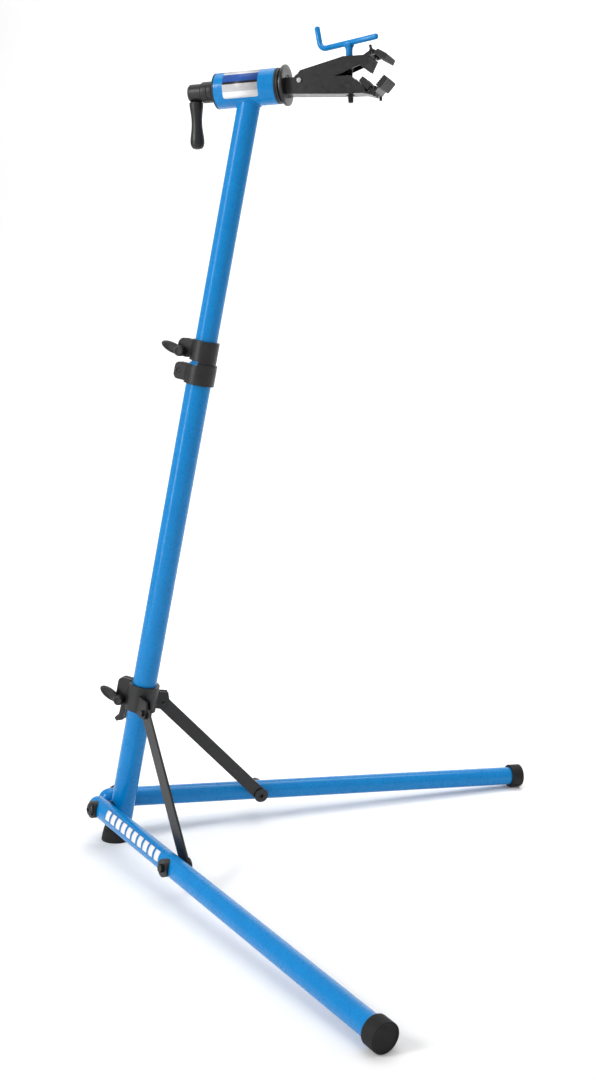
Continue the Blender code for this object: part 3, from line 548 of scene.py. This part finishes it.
# === flange and rings ================================================================================
flange = soft([(0.0163, 0.0706), (0.0335, 0.0706), (0.0335, 0.0656), (0.0275, 0.0651), (0.0270, 0.0613),
               (0.0163, 0.0613)], 0.0010, closed=True)
put("head_flange_skin", lathe("head_flange", flange, 96, True, ALONG_X), "head_flange", HEAD, look=ARM)
ring = soft([(0.0163, 0.0610), (0.0290, 0.0610), (0.0290, 0.0571), (0.0163, 0.0571)], 0.0010, closed=True)
put("thrust_ring_skin", lathe("thrust_ring", ring, 96, True, ALONG_X), "thrust_ring", HEAD)


# === jaw pads ========================================================================================
def jaw_frame(x, z, turn):
    return HEAD @ shift(x, 0, z) @ Matrix.Rotation(turn, 4, "Y")


def pad(node, own, side):
    """A rubber cap on a jaw plate's wing, grooved across its gripping face."""
    along = Vector((math.sin(JAW_HALF_ANGLE), math.cos(JAW_HALF_ANGLE)))
    inward = Vector((-along.y, along.x))

    def at(distance, depth):
        point = along * distance + inward * depth
        return (side * point.x, point.y)

    start, end, layer, sheet = 0.012, 0.0325, PAD_LAYER, JAW_SHEET
    face = [at(start, sheet + layer - 0.0006)]
    for k in range(5):
        middle = start + 0.0032 + 0.0037 * k
        face += [at(middle - 0.0011, sheet + layer), at(middle - 0.0006, sheet + layer - 0.0010),
                 at(middle + 0.0006, sheet + layer - 0.0010), at(middle + 0.0011, sheet + layer)]
    far = soft([face[-1], at(end, sheet + layer), at(end, -layer), at(start, -layer), face[0]], 0.0030)
    block = prism(node, face + far[1:-1], -PAD_HALF_WIDTH, PAD_HALF_WIDTH)
    slot = prism("slot", [at(start - 0.002, -0.0003), at(0.0293, -0.0003), at(0.0293, 0.0033),
                          at(start - 0.002, 0.0033)], -0.0243, 0.0243)
    put(node + "_skin", carved(block, slot), node, own, edge=0.0006)


for prefix, x, z, turn in (("lower", 0.226, -0.0295, 0.0), ("upper", 0.221, 0.043, math.radians(163.5))):
    own = jaw_frame(x, z, turn)
    facing = 1 if math.cos(turn) > 0 else -1
    pad(prefix + "_pad_front", own, facing)
    pad(prefix + "_pad_rear", own, -facing)


# === bolts ===========================================================================================
def socket_head(name, radius, rise, socket, depth):
    """A domed head that stands on z = 0, with a six-sided socket."""
    dome = [(radius, 0), (radius, rise * 0.35)]
    dome += [(radius * math.cos(math.radians(a)), rise * (0.35 + 0.65 * math.sin(math.radians(a))))
             for a in range(12, 61, 12)]
    dome += [(radius * 0.45, rise), (0, rise)]
    head = lathe(name, [(0, 0)] + dome, 48)
    hexagon = lathe("socket", [(0, rise - depth), (socket, rise - depth), (socket, rise + 0.002),
                               (0, rise + 0.002)], 6)
    return carved(head, hexagon)


def extent(node, matrix):
    """How far a CAD node reaches along a frame's Z."""
    part = bpy.data.objects[node]
    to_frame = matrix.inverted() @ part.matrix_world
    heights = [(to_frame @ vertex.co).z for vertex in part.data.vertices]
    return min(heights), max(heights)


for name, side in SIDE.items():
    outward = LEG[name] @ Matrix.Rotation(-side * math.pi / 2, 4, "X")
    inner, outer = extent("pivot_bolt_" + name, outward)
    head = socket_head("pivot_head", 0.0120, PIVOT_HEAD, 0.0042, 0.0030)
    head.transform(shift(0, 0, outer - PIVOT_HEAD))
    seat = outer - PIVOT_HEAD + 0.0019
    shank = lathe("pivot_shank", [(0, seat), (0.005, seat), (0.005, inner), (0, inner)], 32)
    put("pivot_bolt_" + name + "_skin", merged("pivot_bolt", head, shank), "pivot_bolt_" + name, outward)


for node in frame["nodes"]:
    if node not in done:
        cast = node in ("height_clamp", "slide_collar", "lower_arm", "upper_arm")
        refined(node, CAST_EDGE if cast else SOFT_EDGE)


# === labels, plain bands without any lettering =======================================================
def barrel_label():
    """A wrap on the barrel's near side: white, silver, navy and black bands with rounded corners."""
    low, high, left, right, corner, radius = -38.0, 78.0, -0.037, 0.026, 0.004, 0.02955
    bands = [(low, -16.0, 0), (-16.0, 8.0, 1), (8.0, 16.0, 3), (16.0, 46.0, 2), (46.0, 50.0, 0),
             (50.0, high, 1)]
    steps = {low + k * (high - low) / 58 for k in range(59)}
    levels = sorted(steps | {edge for band in bands for edge in band[:2]})
    arc = radius * math.radians(high - low)
    mesh = bpy.data.meshes.new("barrel_label")
    points, faces, looks = [], [], []
    for level in levels:
        depth = min(radius * math.radians(level - low), arc - radius * math.radians(level - low))
        inset = 0.0
        if depth < corner:
            inset = corner - math.sqrt(max(corner ** 2 - (corner - depth) ** 2, 0.0))
        turn = math.radians(level)
        for x in (left + inset, right - inset):
            points.append((x, -radius * math.cos(turn), radius * math.sin(turn)))
    for k in range(len(levels) - 1):
        faces.append((2 * k, 2 * k + 1, 2 * k + 3, 2 * k + 2))
        middle = (levels[k] + levels[k + 1]) / 2
        looks.append(next(look for start, end, look in bands if start <= middle <= end))
    mesh.from_pydata(points, [], faces)
    made = add("barrel_label", mesh, "upper_mast", WHITE, matrix=HEAD)
    for look in (SILVER, NAVY, INK):
        made.data.materials.append(look)
    for face, look in zip(made.data.polygons, looks):
        face.material_index = look
    step = made.modifiers.new("Film", "SOLIDIFY")
    step.thickness = 0.0001


def leg_label(name, side):
    """A row of slanted white bars along the leg's outer side, each on a dark edge."""
    for look, grow, lift, label in ((NAVY, 0.0010, 0.00006, "edge"), (WHITE, 0.0, 0.00014, "bars")):
        radius = LEG_RADIUS + lift
        mesh = bpy.data.meshes.new("bars")
        points, faces = [], []
        for k in range(10):
            start = 0.050 + 0.0213 * k
            for j in range(9):
                across = -0.0090 - grow + (0.018 + 2 * grow) * j / 8
                turn = side * (math.pi / 2) - side * (math.radians(28) + across / radius)
                slant = 0.35 * across
                for edge in (start - grow - slant, start + 0.0150 + grow - slant):
                    points.append((-radius * math.cos(turn), radius * math.sin(turn), edge))
            base = len(points) - 18
            for j in range(8):
                faces.append((base + 2 * j, base + 2 * j + 1, base + 2 * j + 3, base + 2 * j + 2))
        mesh.from_pydata(points, [], faces)
        made = add("leg_label_" + label + "_" + name, mesh, "leg_" + name, look,
                   matrix=LEG[name])
        step = made.modifiers.new("Film", "SOLIDIFY")
        step.thickness = 0.00005


barrel_label()
for name, side in SIDE.items():
    leg_label(name, side)


# === floor, light and camera =========================================================================
STAND_MIDDLE = (0.25, 0.0, 0.6)
WORLD_STRENGTH = 0.58
STRIP_WIDTH = 0.35
LIGHTS = (("key", (-1.7, -2.4, 2.6), STAND_MIDDLE, 0.9, 50.0),          # name, place, target, size, watts
          ("fill", (3.2, -1.6, 2.4), STAND_MIDDLE, 2.5, 4.0),
          ("top", (0.3, 0.6, 4.0), STAND_MIDDLE, 3.0, 55.0),
          ("strip", (-1.9, -2.6, 1.2), STAND_MIDDLE, 2.2, 34.0),
          ("backdrop", (0.3, 2.2, 4.2), (0.25, 7.0, 1.0), 3.5, 260.0))
CAMERA_PLACE = (1.0702, -2.1577, 0.9474)
CAMERA_LENS = 43.43
CAMERA_HEADING = math.radians(18.25)
CAMERA_PITCH = math.radians(-8.69)
CAMERA_ROLL = math.radians(0.73)


def floor_material():
    made, tree, shader = shader_of("studio_floor")
    pale = ramp(tree, noise(tree, 3.0), (0.90, 0.90, 0.90), (0.92, 0.92, 0.92))
    tree.links.new(pale, shader.inputs["Base Color"])
    shader.inputs["Roughness"].default_value = 0.9
    return made


def studio():
    mesh = bpy.data.meshes.new("studio_floor")
    reach, rise, steps = 9.0, 6.0, 16
    profile = [(-reach, 0.0), (4.0, 0.0)]
    profile += [(4.0 + 2.5 * math.sin(a), 2.5 - 2.5 * math.cos(a))
                for a in [math.pi / 2 * i / steps for i in range(1, steps + 1)]]
    profile.append((6.5, rise))
    points = [(x, y, z) for y, z in profile for x in (-reach, reach)]
    faces = [(2 * i, 2 * i + 1, 2 * i + 3, 2 * i + 2) for i in range(len(profile) - 1)]
    mesh.from_pydata(points, [], faces)
    floor = bpy.data.objects.new("studio_floor", mesh)
    floor.data.materials.append(floor_material())
    floor.data.shade_smooth()
    bpy.context.scene.collection.objects.link(floor)

    world = bpy.data.worlds.new("studio")
    bpy.context.scene.world = world
    world.use_nodes = True
    world.node_tree.nodes["Background"].inputs["Color"].default_value = (1.0, 1.0, 1.0, 1.0)
    world.node_tree.nodes["Background"].inputs["Strength"].default_value = WORLD_STRENGTH
    bpy.context.scene.view_settings.view_transform = "Standard"

    for name, where, target, size, power in LIGHTS:
        lamp = bpy.data.lights.new(name, "AREA")
        lamp.size = size
        lamp.energy = power
        if name == "strip":
            lamp.shape = "RECTANGLE"
            lamp.size, lamp.size_y = STRIP_WIDTH, size
        holder = bpy.data.objects.new(name, lamp)
        holder.location = where
        holder.rotation_euler = (Vector(target) - Vector(where)).to_track_quat("-Z", "Y").to_euler()
        bpy.context.scene.collection.objects.link(holder)


def camera():
    data = bpy.data.cameras.new("camera")
    data.sensor_width = 36.0
    data.lens = CAMERA_LENS
    data.clip_end = 50.0
    holder = bpy.data.objects.new("camera", data)
    bpy.context.scene.collection.objects.link(holder)
    heading, pitch, roll = CAMERA_HEADING, CAMERA_PITCH, CAMERA_ROLL
    view = Vector((-math.sin(heading) * math.cos(pitch), math.cos(heading) * math.cos(pitch),
                   math.sin(pitch)))
    level = view.cross(Vector((0, 0, 1))).normalized()
    up = level.cross(view)
    right = level * math.cos(roll) + up * math.sin(roll)
    holder.matrix_world = axes(Vector(CAMERA_PLACE), right, right.cross(view), -view)
    bpy.context.scene.camera = holder


studio()
camera()
bpy.context.view_layer.update()
